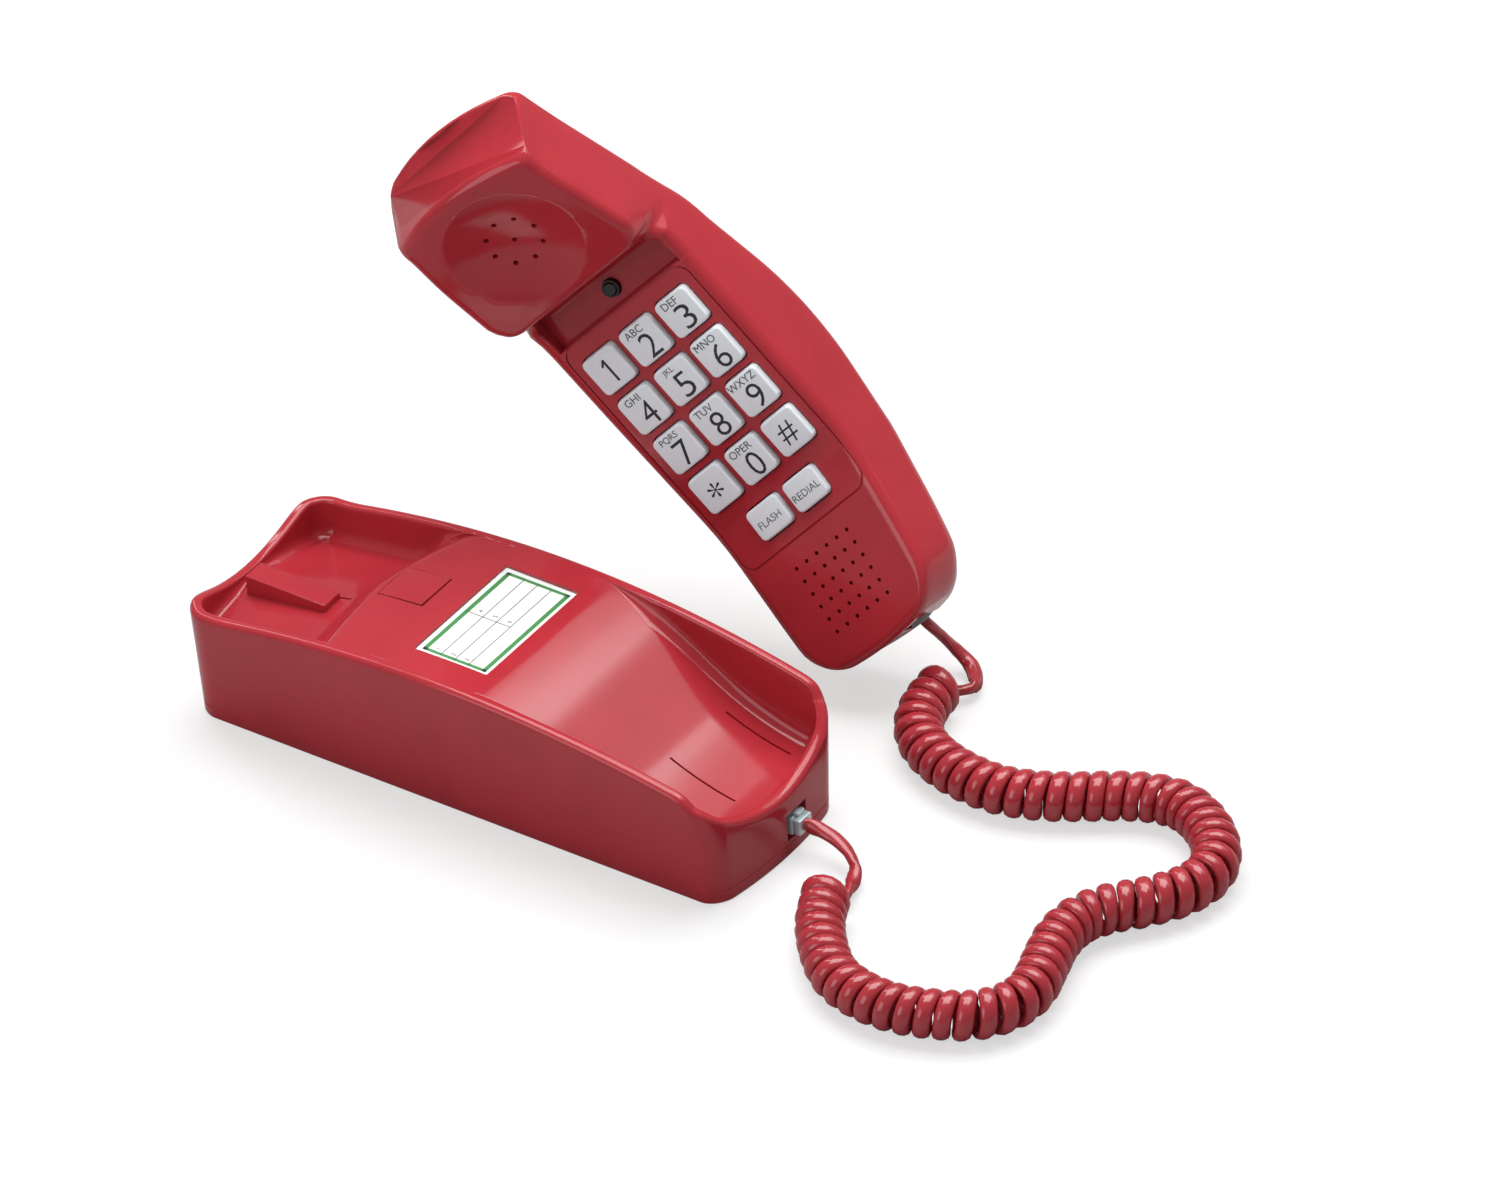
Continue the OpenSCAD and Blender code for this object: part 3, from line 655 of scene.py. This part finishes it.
@dataclass
class Handset:
    """The handset shell: a lofted body with a dished ear plate, a recess and a keypad face."""

    widths: list[Point] = field(default_factory=lambda: [
        (-45, 32.6), (-10, 32.2), (40, 31.2), (75, 30.6), (98, 29.8)])
    flare: float = 0.11
    face_edge: float = 3.6
    crowns: list[Point] = field(default_factory=lambda: [
        (-100, 0.4), (-60, 1.6), (-35, 3.0), (0, 2.2), (45, 1.9), (72, 4.0), (100, 6.0)])
    back_edges: list[Point] = field(default_factory=lambda: [
        (-100, 3.0), (-50, 5.0), (20, 5.0), (60, 7.0), (100, 9.0)])
    end_corners: Point = (6.0, 14.0)
    end_edge: float = 3.2
    dish_radius: float = 61.0
    bow: Point = (136.0, 220.0)
    head: list[Point] = field(default_factory=lambda: [(-100, 30.3), (-62, 33.2)])
    face: list[Point] = field(default_factory=lambda: rounded_path(
        [(-105, 36.5, 0), (-54, 15.6, 3.0), (-51.4, -5, 1.6), (-39.9, -5, 0.8), (-39.4, 0, 0.7),
         (42, 0, 66), (98.5, 17.6, 0)], 6))
    back: list[Point] = field(default_factory=lambda: rounded_path(
        [(-123.7, 11, 0), (-52, -25, 60), (0, -38.5, 110), (50, -29, 70), (104, -14.5, 0)], 14))
    pairs: list[Point] = field(default_factory=lambda: [
        (-105, -123.7), (-54, -64), (-51.3, -61), (-39.4, -47), (0, 0), (32, 34), (98.5, 104)])
    ends: tuple[float, ...] = (0, 0.04, 0.17, 0.4, 0.75, 1.2, 1.8, 2.6, 3.6, 5, 6.6, 8.5, 11, 15)

    def __post_init__(self) -> None:
        """Work out the rows along the handset."""
        walked = [0.0]
        for (x0, z0), (x1, z1) in zip(self.face, self.face[1:]):
            walked.append(walked[-1] + math.hypot(x1 - x0, z1 - z0))
        total = walked[-1]
        stops = set(self.ends) | {total - e for e in self.ends} | set(walked[1:-1])
        stops |= {20 + 3.0 * k for k in range(int((total - 38) / 3))}
        kept: list[float] = []
        for stop in sorted(stops):
            if not kept or stop - kept[-1] > 0.03:
                kept.append(stop)
        self.rows = [(s, total - s, lookup(s, list(zip(walked, (p[0] for p in self.face)))),
                      lookup(s, list(zip(walked, (p[1] for p in self.face))))) for s in kept]

    def side_rim(self, x: float) -> float:
        """Height of the thin side walls of the recess."""
        return lookup(x, [(-54.2, 15.6), (-53.4, 6.0), (-51.5, 2.6), (-46, 0.9), (-39.4, 0.0)])

    def section(self, row: int, k: int) -> Vector:
        """Point k of a half section, from the middle of the face round to the middle of the back."""
        from_ear, from_mouth, x, z = self.rows[row]
        end = min(from_ear, from_mouth)
        front = Vector((x, z))
        bx = lookup(x, self.pairs)
        back = Vector((bx, lookup(bx, self.back)))
        height = (back - front).length
        away = (back - front) / height
        lost = max(0.0, self.end_edge - end)
        shrink = self.end_edge - math.sqrt(self.end_edge ** 2 - lost ** 2)
        flat = (0.0, 0.18, 0.36, 0.54, 0.7, 0.84, 0.94, 1.0)
        rise = max(0.0, self.side_rim(x) - z) if -54 < x < -39.4 else 0.0
        edge, round_back, crown = self.face_edge, lookup(x, self.back_edges), lookup(x, self.crowns)
        inset, depth = 0.0, 0.0
        if 8 <= k < 11:
            inset, depth = (5.0, 4.5, 4.0)[k - 8], -rise * (0.0, 0.9, 1.0)[k - 8]
        elif 11 <= k < 18:
            a = math.pi / 2 * (k - 11) / 6
            inset, depth = edge * (1 - math.sin(a)), edge * (1 - math.cos(a)) - rise
        elif 18 <= k < 21:
            depth = edge - rise + (height - crown - round_back - edge + rise) * (k - 17) / 4
        elif 21 <= k < 28:
            a = math.pi / 2 * (k - 21) / 6
            inset = round_back * (1 - math.cos(a))
            depth = height - crown - round_back * (1 - math.sin(a))
        elif k >= 28:
            depth = height
        level = front + away * depth
        near = smooth((x + 62) / 16)
        half = (lookup(x, self.widths) - self.flare * level.y) * near + lookup(x, self.head) * (1 - near)
        if -62 < x < -51.6:
            half -= 5.5 * clamp(1 - depth / 11) * (
                1 - math.sqrt(1 - clamp((x + 62) / 8.3) ** 2) if x < -53.8 else clamp((-51.6 - x) / 2.2))
        turn = self.end_corners[x > 0]
        lost = turn - clamp((level.x + 124.7) if x < 0 else from_mouth + 0.3, 0.0, turn)
        narrow = turn - math.sqrt(turn ** 2 - lost ** 2)
        if k < 8:
            y = (half - 5.4) * flat[k]
        elif k >= 28:
            y = (half - round_back) * (32 - k) / 5
        else:
            y = half - inset
        if k >= 28:
            depth = height - crown * (y / (half + 0.5)) ** 2
        elif k >= 21:
            depth += crown * (1 - (y / (half + 0.5)) ** 2) * (k - 21) / 6
        depth = shrink + depth * (height - 2 * shrink) / height
        y *= (half - narrow) / half
        point = front + away * depth
        side = Vector((-away.y, away.x)) if from_ear > from_mouth else Vector((away.y, -away.x))
        if side.x * (1 if from_ear > from_mouth else -1) < 0:
            side = -side
        pull = y * y / self.bow[from_ear > from_mouth] * (1 - smooth(end / 32))
        point = point - side * pull
        return Vector((point.x, y, point.y))

    def loop(self, n: int, row: int) -> Vector:
        """Point n round the whole section."""
        half = 32
        n %= 2 * half
        if n <= half:
            return self.section(row, n)
        point = self.section(row, 2 * half - n)
        return Vector((point.x, -point.y, point.z))

    def shell(self) -> bmesh.types.BMesh:
        """Make the closed skin of the handset."""
        rows = len(self.rows)
        bm = wrap(64, rows - 1, self.loop)
        bmesh.ops.holes_fill(bm, edges=bm.edges, sides=0)
        bmesh.ops.recalc_face_normals(bm, faces=bm.faces)
        return bm

    def panel_groove(self) -> bmesh.types.BMesh:
        """Make the cutter of the thin groove around the keypad."""
        corners = [(-39.0, -28.3), (54.7, -28.3), (54.7, 28.3), (-39.0, 28.3)]
        radius, loop = 5.0, []
        for k, (x, y) in enumerate(corners):
            cx, cy = x + math.copysign(radius, -x), y + math.copysign(radius, -y)
            start = math.radians(180 + 90 * k)
            loop += [(cx + radius * math.cos(start + math.pi / 2 * i / 8),
                      cy + radius * math.sin(start + math.pi / 2 * i / 8)) for i in range(9)]
            nx, ny = corners[(k + 1) % 4]
            if k in (0, 2):
                loop += [(x + (nx - x) * i / 30, y) for i in range(2, 29)]
        count = len(loop)

        def place(n: int, k: int) -> Vector:
            """Point n along the groove and k round its square section."""
            x, y = loop[n % count]
            mx, my = x - 7.85, y
            long = math.hypot(mx, my)
            out, up = ((-0.3, 3.0), (0.3, 3.0), (0.3, -0.55), (-0.3, -0.55))[k % 4]
            return Vector((x + out * mx / long * 1.3, y + out * my / long * 1.3,
                           lookup(x, self.face) + up))

        return wrap(count, 4, place)

    def build(self) -> None:
        """Make the handset shell with all its openings."""
        paint = Paint()
        bm = self.shell()
        ball = bmesh.new()
        bmesh.ops.create_uvsphere(ball, u_segments=256, v_segments=200, radius=self.dish_radius * MM)
        ball.transform(EAR @ Matrix.Translation(Vector((0, 0, 0.8)) * MM)
                       @ Matrix.Rotation(math.radians(-4.7), 4, "Y")
                       @ Matrix.Translation((0, 0, self.dish_radius * MM)))
        bm = cut(bm, ball)
        bm = cut(bm, self.panel_groove())
        wells = [rounded_block((15.1, 15.1, 12), (*KEYS.place(i), 0), 2.2, 0) for i in range(12)]
        for i in (0, 1):
            well = rounded_block((12.4, 15.1, 14), (0, 0, 0), 2.2, 0)
            well.transform(KEYS.small_frame(i))
            wells.append(well)
        bm = cut(bm, merged(wells))
        pins = []
        spots = [(EAR, (9.2 * math.cos(math.tau * k / 8), 9.2 * math.sin(math.tau * k / 8)), 0.9)
                 for k in range(8)] + [(EAR, (0, 0), 0.9)]
        spots += [(MOUTH, ((i - 2.5) * 4.9, (j - 2.5) * 4.75), 0.72)
                  for i in range(6) for j in range(6)]
        for frame, (x, y), radius in spots:
            pin = bmesh.new()
            bmesh.ops.create_cone(pin, cap_ends=True, segments=16, radius1=radius * MM,
                                  radius2=radius * MM, depth=12 * MM)
            pin.transform(frame @ Matrix.Translation(Vector((x, y, 0)) * MM))
            pins.append(pin)
        hole = bmesh.new()
        bmesh.ops.create_cone(hole, cap_ends=True, segments=32, radius1=3.3 * MM,
                              radius2=3.3 * MM, depth=24 * MM)
        hole.transform(Matrix.Translation(Vector((-45.5, 0, -8)) * MM))
        pins.append(hole)
        pins.append(rounded_block((26, 11.2, 10.8), (97, 2.5, -8.1), 0, 0))
        bm = cut(bm, merged(pins))
        finish_piece("handset_shell", bm, [paint.red], "handset",
                     ["handset_front", "handset_back"], crease=32, turn=HANDSET)


# ---------------------------------------------------------------- keys
@dataclass
class Keypad:
    """The keys with their raised caps and printed legends."""

    pitch: float = 17.2
    side: float = 14.3
    rise: float = 2.6
    small: Point = (11.6, 14.3)
    names: tuple[str, ...] = ("key_1", "key_2", "key_3", "key_4", "key_5", "key_6", "key_7",
                              "key_8", "key_9", "key_star", "key_0", "key_pound")
    legends: tuple[tuple[str, str], ...] = (
        ("1", ""), ("2", "ABC"), ("3", "DEF"), ("4", "GHI"), ("5", "JKL"), ("6", "MNO"),
        ("7", "PQRS"), ("8", "TUV"), ("9", "WXYZ"), ("*", ""), ("0", "OPER"), ("#", ""))

    def place(self, i: int) -> Point:
        """Centre of key i on the face."""
        return (i // 3 - 1.5) * self.pitch, (i % 3 - 1) * self.pitch

    def small_frame(self, i: int) -> Matrix:
        """Placing of a small key on the handset."""
        return (Matrix.Translation(Vector((44.4, (-8.6, 8.6)[i], 1.1)) * MM)
                @ Matrix.Rotation(math.radians(-8), 4, "Y"))

    def cap(self, size: Point) -> bmesh.types.BMesh:
        """Make one key cap with softened edges and a slight draft."""
        bm = rounded_block((size[0], size[1], 3 + self.rise), (0, 0, (self.rise - 3) / 2), 2.0, 0, 5)
        for v in bm.verts:
            if v.co.z > 0:
                v.co.x *= 1 - 0.35 / size[0]
                v.co.y *= 1 - 0.35 / size[1]
        rim = [e for e in bm.edges if all(v.co.z > 0 for v in e.verts)
               and len({round(f.normal.z) for f in e.link_faces}) == 2]
        bmesh.ops.bevel(bm, geom=rim, offset=0.75 * MM, segments=4, profile=0.5,
                        affect="EDGES", material=-1)
        return bm

    def figure_one(self, at: Point, level: float) -> bmesh.types.BMesh:
        """Make the figure 1 from an upright stroke and its flag."""
        flag = rounded_block((2.8, 0.8, 0.06), (0, 0, 0), 0, 0)
        flag.transform(Matrix.Translation(Vector((at[0] - 3.25, at[1] - 0.3, level + 0.02)) * MM)
                       @ Matrix.Rotation(math.radians(-42), 4, "Z"))
        return merged([rounded_block((8.6, 0.9, 0.06), (at[0], at[1] + 0.5, level + 0.02), 0, 0), flag], 1)

    def build(self) -> None:
        """Make the number keys and the two small keys."""
        paint = Paint()
        finishes = [paint.key, paint.ink, paint.soft_ink]
        top = self.rise - 0.01
        for i, name in enumerate(self.names):
            digit, letters = self.legends[i]
            parts = [self.cap((self.side, self.side))]
            tall = {"*": 5.6, "#": 7.6}.get(digit, 8.6)
            broad = {"*": 5.4, "#": 6.6}.get(digit, 5.4)
            spot = (1.7, 0.9) if letters else (0.4, 0.2)
            parts.append(self.figure_one(spot, top) if digit == "1" else merged(
                [lettering(digit, tall, spot, top, 0.0 if digit == "*" else 0.006, broad)], 1))
            if letters:
                parts.append(merged([lettering(letters, 2.7, (-4.7, -1.0 if len(letters) < 4 else -0.4),
                                               top)], 2))
            x, y = self.place(i)
            finish_piece(name + "_cap", merged(parts), finishes, name, [name],
                         turn=HANDSET @ Matrix.Translation(Vector((x, y, 0)) * MM))
        for i, (name, word) in enumerate((("key_flash", "FLASH"), ("key_redial", "REDIAL"))):
            parts = [self.cap(self.small),
                     merged([lettering(word, 2.5, (0.6, 0), top, 0.004)], 2)]
            finish_piece(name + "_cap", merged(parts), finishes, name, [name],
                         turn=HANDSET @ self.small_frame(i))


KEYS = Keypad()


# ---------------------------------------------------------------- cord
@dataclass
class CoilCord:
    """The coiled handset cord: an oval vinyl lead wound on the route, with straight ends."""

    width: float = 6.0
    thickness: float = 3.6
    coil: float = 17.0
    turns: int = 61
    per_turn: int = 18
    sides: int = 10
    route: list[Point] = field(default_factory=lambda: [
        (135, -17), (142, -31), (152, -43), (163, -52), (176, -56), (189, -56), (202, -52),
        (213, -46), (220, -36), (221, -25), (217, -12), (213, 1), (213, 13), (218, 23),
        (226, 32), (233, 43), (235, 55), (230, 66), (220, 75), (208, 80), (197, 79),
        (186, 74), (175, 67), (164, 61), (151, 57), (138, 57), (125, 60), (114, 66),
        (107, 75), (104, 85), (103, 94)])
    base_tail: list[tuple[float, float, float]] = field(default_factory=lambda: [
        (107.4, 7, 10.9), (110.2, 7, 10.9), (115, 7.5, 10.4), (121, 7.5, 9), (127, 6, 7),
        (131.5, 3, 5), (134.5, -2, 4), (136.5, -8, 4), (137, -13, 4.6)])
    handset_tail: list[tuple[float, float, float]] = field(default_factory=lambda: [
        (86.0, 105.3, 23.6), (88.7, 105.6, 21.1), (90, 107.2, 18.2), (91, 109.2, 15),
        (92.5, 111.1, 11.4), (94.7, 112.4, 8.2), (97.8, 112.8, 5.6), (101.3, 111.7, 4.2),
        (105.8, 107.6, 3.8), (108.5, 101.5, 4.2)])

    def spline(self, points: Sequence[Vector], steps: int) -> list[Vector]:
        """Pass a smooth curve through points."""
        curve = []
        last = len(points) - 1
        for k in range(last):
            a, b, c, d = (points[max(k - 1, 0)], points[k], points[k + 1], points[min(k + 2, last)])
            for i in range(steps):
                t = i / steps
                curve.append(0.5 * (2 * b + (c - a) * t + (2 * a - 5 * b + 4 * c - d) * t * t
                                    + (3 * b - a - 3 * c + d) * t ** 3))
        return curve + [points[-1]]

    def winding(self) -> list[Vector]:
        """Centreline of the wound part."""
        line = self.spline([Vector((x, y, self.coil / 2)) for x, y in self.route], 12)
        walked = [0.0]
        for a, b in zip(line, line[1:]):
            walked.append(walked[-1] + (b - a).length)
        radius = self.coil / 2 - self.thickness / 2 - 0.1
        points, k = [], 0
        total = self.turns * self.per_turn
        start = math.radians(-95)
        for i in range(total + 1):
            along = walked[-1] * i / total
            while k < len(walked) - 2 and walked[k + 1] < along:
                k += 1
            t = (along - walked[k]) / (walked[k + 1] - walked[k])
            centre = line[k].lerp(line[k + 1], t)
            run = (line[min(k + 2, len(line) - 1)] - line[max(k - 1, 0)]).normalized()
            side = run.cross(Vector((0, 0, 1))).normalized()
            angle = start + math.tau * self.turns * i / total
            points.append(centre + radius * (side * math.cos(angle) + Vector((0, 0, 1)) * math.sin(angle)))
        return points

    def centreline(self) -> list[Vector]:
        """The whole lead from the base plug to the handset plug."""
        wound = self.winding()
        first = self.spline([Vector(p) for p in self.base_tail] + [wound[2]], 5)[:-1]
        last = self.spline([Vector(p) for p in self.handset_tail] + [wound[-3]], 5)[:-1]
        return first + wound[2:-2] + last[::-1]

    def build(self) -> None:
        """Make the cord and its two plugs."""
        line = self.centreline()
        count = len(line)
        runs = [(line[min(i + 1, count - 1)] - line[max(i - 1, 0)]).normalized() for i in range(count)]
        sides_at: list[Vector] = []
        for i in range(count):
            near, far = line[max(0, i - self.per_turn // 2)], line[min(count - 1, i + self.per_turn // 2)]
            axis = far - near
            axis = axis - runs[i] * axis.dot(runs[i])
            if axis.length < 0.4:
                axis = sides_at[-1] if sides_at else Vector((0, 0, 1))
                axis = axis - runs[i] * axis.dot(runs[i])
            axis.normalize()
            if sides_at and axis.dot(sides_at[-1]) < 0:
                axis = -axis
            if sides_at:
                axis = (sides_at[-1] * 0.6 + axis * 0.4)
                axis = (axis - runs[i] * axis.dot(runs[i])).normalized()
            sides_at.append(axis)

        def place(n: int, i: int) -> Vector:
            """Point n round the oval at ring i; the first and last rings close to a point."""
            i -= 1
            closing = 0.0 if i in (-1, count) else 1.0
            i = int(clamp(i, 0, count - 1))
            wide, deep = sides_at[i], sides_at[i].cross(runs[i])
            tail = min(i, count - 1 - i)
            gap = self.pitch(line, i)
            width = min(self.width, 0.98 * gap) if tail > 45 else 5.2
            a = math.tau * n / self.sides
            return line[i] + closing * (wide * math.cos(a) * width / 2
                                        + deep * math.sin(a) * self.thickness / 2)

        bm = wrap(self.sides, count + 1, place)
        cord = smooth_object("handset_cord", bm, [Paint().cord])
        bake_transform(cord)
        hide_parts("cord_tail_base", "cord_coil", "cord_tail_handset")
        plugs = [self.plug("base_plug", "base", Matrix.Translation(Vector((107, 7, 10.9)) * MM)
                           @ Matrix.Scale(-1, 4, (0, 0, 1)), "plug_base"),
                 self.plug("handset_plug", "handset", HANDSET
                           @ Matrix.Translation(Vector((99.8, 2.5, -8.5)) * MM), "plug_handset")]

    def pitch(self, line: Sequence[Vector], i: int) -> float:
        """Distance to the next turn at ring i."""
        back, ahead = max(0, i - self.per_turn), min(len(line) - 1, i + self.per_turn)
        return min((line[ahead] - line[i]).length or 9.0, (line[i] - line[back]).length or 9.0)

    def plug(self, name: str, body: str, turn: Matrix, node: str) -> bpy.types.Object:
        """Make one clear modular plug with its latch and stepped nose."""
        parts = [rounded_block((11.5, 7.6, 6.4), (-5.75, 0, 0), 0.4, 0.35, 2),
                 rounded_block((3.2, 7.0, 5.8), (1.4, 0, 0), 0.5, 0.5, 2),
                 rounded_block((7.0, 3.2, 1.2), (-2.5, 0, -3.7), 0.3, 0.2, 2)]
        return finish_piece(name, merged(parts), [Paint().clear], body, [node],
                            crease=40, turn=turn)


# ---------------------------------------------------------------- small parts
@dataclass
class IndexCard:
    """The ruled index card in its recess."""

    low: Point = (-18.7, -25.7)
    size: Point = (28.4, 51.4)
    level: float = 52.83

    def build(self) -> None:
        """Make the card's printed border, its rows and its faint row numbers."""
        x0, y0 = self.low
        wide, tall = self.size
        frame_in, border = 1.7, 1.6
        bars, rules = [], []

        def bar(ax: float, ay: float, bx: float, by: float, rule: bool = False) -> None:
            """Add a flat printed bar between two corners."""
            middle = ((ax + bx) / 2, (ay + by) / 2, self.level + 0.005)
            (rules if rule else bars).append(rounded_block((bx - ax, by - ay, 0.03), middle, 0, 0))

        left, right = x0 + frame_in, x0 + wide - frame_in
        low, high = y0 + frame_in, y0 + tall - frame_in
        bar(left, low, left + border, high)
        bar(right - border, low, right, high)
        bar(left, low, right, low + border * 0.8)
        bar(left, high - border * 0.8, right, high)
        rows = [left + border + (right - left - 2 * border) * k / 4 for k in (1, 2, 3)]
        for x in rows:
            bar(x - 0.16, low, x + 0.16, high, True)
        middle = y0 + tall * 0.5
        bar(left, middle - 0.16, rows[2], middle + 0.16, True)
        paint = Paint()
        numbers = []
        spots = [left + border + 2.0] + [x + 2.4 for x in rows[:2]]
        for k, x in enumerate(spots):
            for j, y in enumerate((low + 2.6, middle + 2.2)):
                numbers.append(lettering(str(k + 1 + 3 * j), 1.7, (x + 1.1, y), self.level, 0.0))
        finish_piece("card_print", merged([merged(bars), merged(rules + numbers, 1)]),
                     [paint.green, paint.soft_ink], "base")


@dataclass
class HangTab:
    """The reversible wall-hanging tab set in the middle of the base."""

    def build(self) -> None:
        """Make the tab's plate, raised at one corner, and its leg."""
        plate = rounded_block((17.3, 16.5, 2.4), (-39.2, 3.1, 50.9), 0.4, 0.12, 2)
        for v in plate.verts:
            if v.co.z > 50.9 * MM:
                raised = 0.45 * clamp((v.co.x / MM + 48) / 17) * clamp((11.4 - v.co.y / MM) / 16 + 0.3)
                v.co.z += (Cradle().arc(v.co.x / MM) + raised - 52.1) * MM
        leg = rounded_block((3.8, 12.2, 9.3), (-39.7, 2.9, 44.9), 0.3, 0.2, 2)
        finish_piece("hanging_tab", merged([plate, leg]), [Paint().red], "hang_tab",
                     ["hang_tab"])


def dress_nodes(nodes: dict[str, bpy.types.Object]) -> None:
    """Give every CAD node its finish."""
    paint = Paint()
    table = {
        paint.red: ("base_cradle", "handset_front", "handset_back", "hang_tab"),
        paint.inner_red: ("base_bottom",),
        paint.rubber: ("rubber_feet", "earpiece_seal", "microphone_boot"),
        paint.steel: ("base_screws", "handset_screws", "microphone"),
        paint.iron: ("ballast_plate", "handset_weight"),
        paint.card: ("index_card",),
        paint.film: ("card_cover",),
        paint.black: ("base_jack", "line_jack", "ringer", "ringer_switch_body", "ringer_slider",
                      "earpiece", "hook_switch", "handset_jack"),
        paint.gold: ("base_contacts", "handset_contacts"),
        paint.board: ("base_board", "keypad_board"),
        paint.grey_rubber: ("keypad_mat",),
        paint.hook: ("hook_button",),
        paint.clear: ("plug_base", "plug_handset"),
        paint.cord: ("cord_tail_base", "cord_coil", "cord_tail_handset"),
        paint.key: tuple(n for n in nodes if n.startswith("key_")),
    }
    for finish, names in table.items():
        for name in names:
            mesh = nodes[name].data
            mesh.materials.clear()
            mesh.materials.append(material(finish))


# ---------------------------------------------------------------- studio
@dataclass
class Studio:
    """Floor, soft lights and camera."""

    right: tuple[float, float, float] = (0.817, 0.574, -0.055)
    up: tuple[float, float, float] = (-0.308, 0.514, 0.800)
    distance: float = 20.0
    lens: float = 1485.5
    middle: Point = (75.2, 50.8)

    def panel(self, name: str, at: Sequence[float], aim: Sequence[float], size: Point,
              power: float) -> None:
        """Add one soft light panel."""
        lamp = bpy.data.lights.new(name, "AREA")
        lamp.shape, lamp.size, lamp.size_y, lamp.energy = "RECTANGLE", size[0], size[1], power
        holder = bpy.data.objects.new(name, lamp)
        holder.location = at
        holder.rotation_euler = (Vector(aim) - Vector(at)).to_track_quat("-Z", "Y").to_euler()
        bpy.context.scene.collection.objects.link(holder)

    def pale_floor(self) -> bpy.types.Material:
        """Give the floor's finish a pale glow towards the camera and less light to the object."""
        mat = material(Paint().floor)
        nodes, links = mat.node_tree.nodes, mat.node_tree.links
        shader, end = nodes["Principled BSDF"], nodes["Material Output"]
        shader.inputs["Specular IOR Level"].default_value = 0.0
        glow, dull = nodes.new("ShaderNodeEmission"), nodes.new("ShaderNodeBsdfDiffuse")
        glow.inputs["Color"].default_value = (0.98, 0.98, 0.98, 1)
        dull.inputs["Color"].default_value = (0.42, 0.42, 0.42, 1)
        seen, half, whole = (nodes.new("ShaderNodeLightPath"), nodes.new("ShaderNodeMixShader"),
                             nodes.new("ShaderNodeMixShader"))
        half.inputs["Fac"].default_value = 0.62
        links.new(shader.outputs["BSDF"], half.inputs[1])
        links.new(glow.outputs["Emission"], half.inputs[2])
        links.new(seen.outputs["Is Camera Ray"], whole.inputs["Fac"])
        links.new(dull.outputs["BSDF"], whole.inputs[1])
        links.new(half.outputs["Shader"], whole.inputs[2])
        links.new(whole.outputs["Shader"], end.inputs["Surface"])
        return mat

    def build(self) -> None:
        """Set up the floor, the lights, the surroundings and the camera."""
        scene = bpy.context.scene
        floor = bmesh.new()
        bmesh.ops.create_grid(floor, x_segments=1, y_segments=1, size=6.0)
        mesh = bpy.data.meshes.new("floor")
        floor.to_mesh(mesh)
        floor.free()
        mesh.materials.append(self.pale_floor())
        ground = bpy.data.objects.new("floor", mesh)
        ground.location = (0, 0, -0.0002)
        scene.collection.objects.link(ground)
        world = bpy.data.worlds.new("surroundings")
        world.use_nodes = True
        world.node_tree.nodes["Background"].inputs["Color"].default_value = (1, 1, 1, 1)
        world.node_tree.nodes["Background"].inputs["Strength"].default_value = 0.28
        scene.world = world
        self.panel("overhead", (-0.1, 0.45, 1.6), (0.05, 0.05, 0), (1.5, 1.2), 31)
        self.panel("near_fill", (-0.3, -1.3, 0.7), (0.05, 0.02, 0.08), (0.9, 0.9), 5.5)
        self.panel("back_panel", (0.2, 0.9, 1.06), (0.06, 0, 0.02), (1.2, 0.6), 3.4)
        self.panel("left_strip", (-1.1, 0.5, 0.9), (0, 0, 0.05), (0.12, 0.9), 2.5)
        right, up = Vector(self.right).normalized(), Vector(self.up).normalized()
        back = right.cross(up).normalized()
        up = back.cross(right).normalized()
        aim = (right * self.middle[0] + up * self.middle[1]) * MM
        camera = bpy.data.objects.new("camera", bpy.data.cameras.new("camera"))
        camera.data.lens, camera.data.sensor_width = self.lens, 36
        camera.data.clip_start, camera.data.clip_end = 0.05, 50
        turn = Matrix((right, up, back)).transposed().to_4x4()
        camera.matrix_world = Matrix.Translation(aim + back * self.distance) @ turn
        scene.collection.objects.link(camera)
        scene.camera = camera
        scene.view_settings.view_transform = "Standard"


def main() -> None:
    """Build every sub-assembly around the frame."""
    logging.basicConfig(level=logging.INFO, format="%(name)s %(message)s")
    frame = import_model()
    dress_nodes(frame["nodes"])
    Studio().build()
    CoilCord().build()
    Cradle().build()
    Handset().build()
    KEYS.build()
    IndexCard().build()
    HangTab().build()


if __name__ == "__main__":
    main()
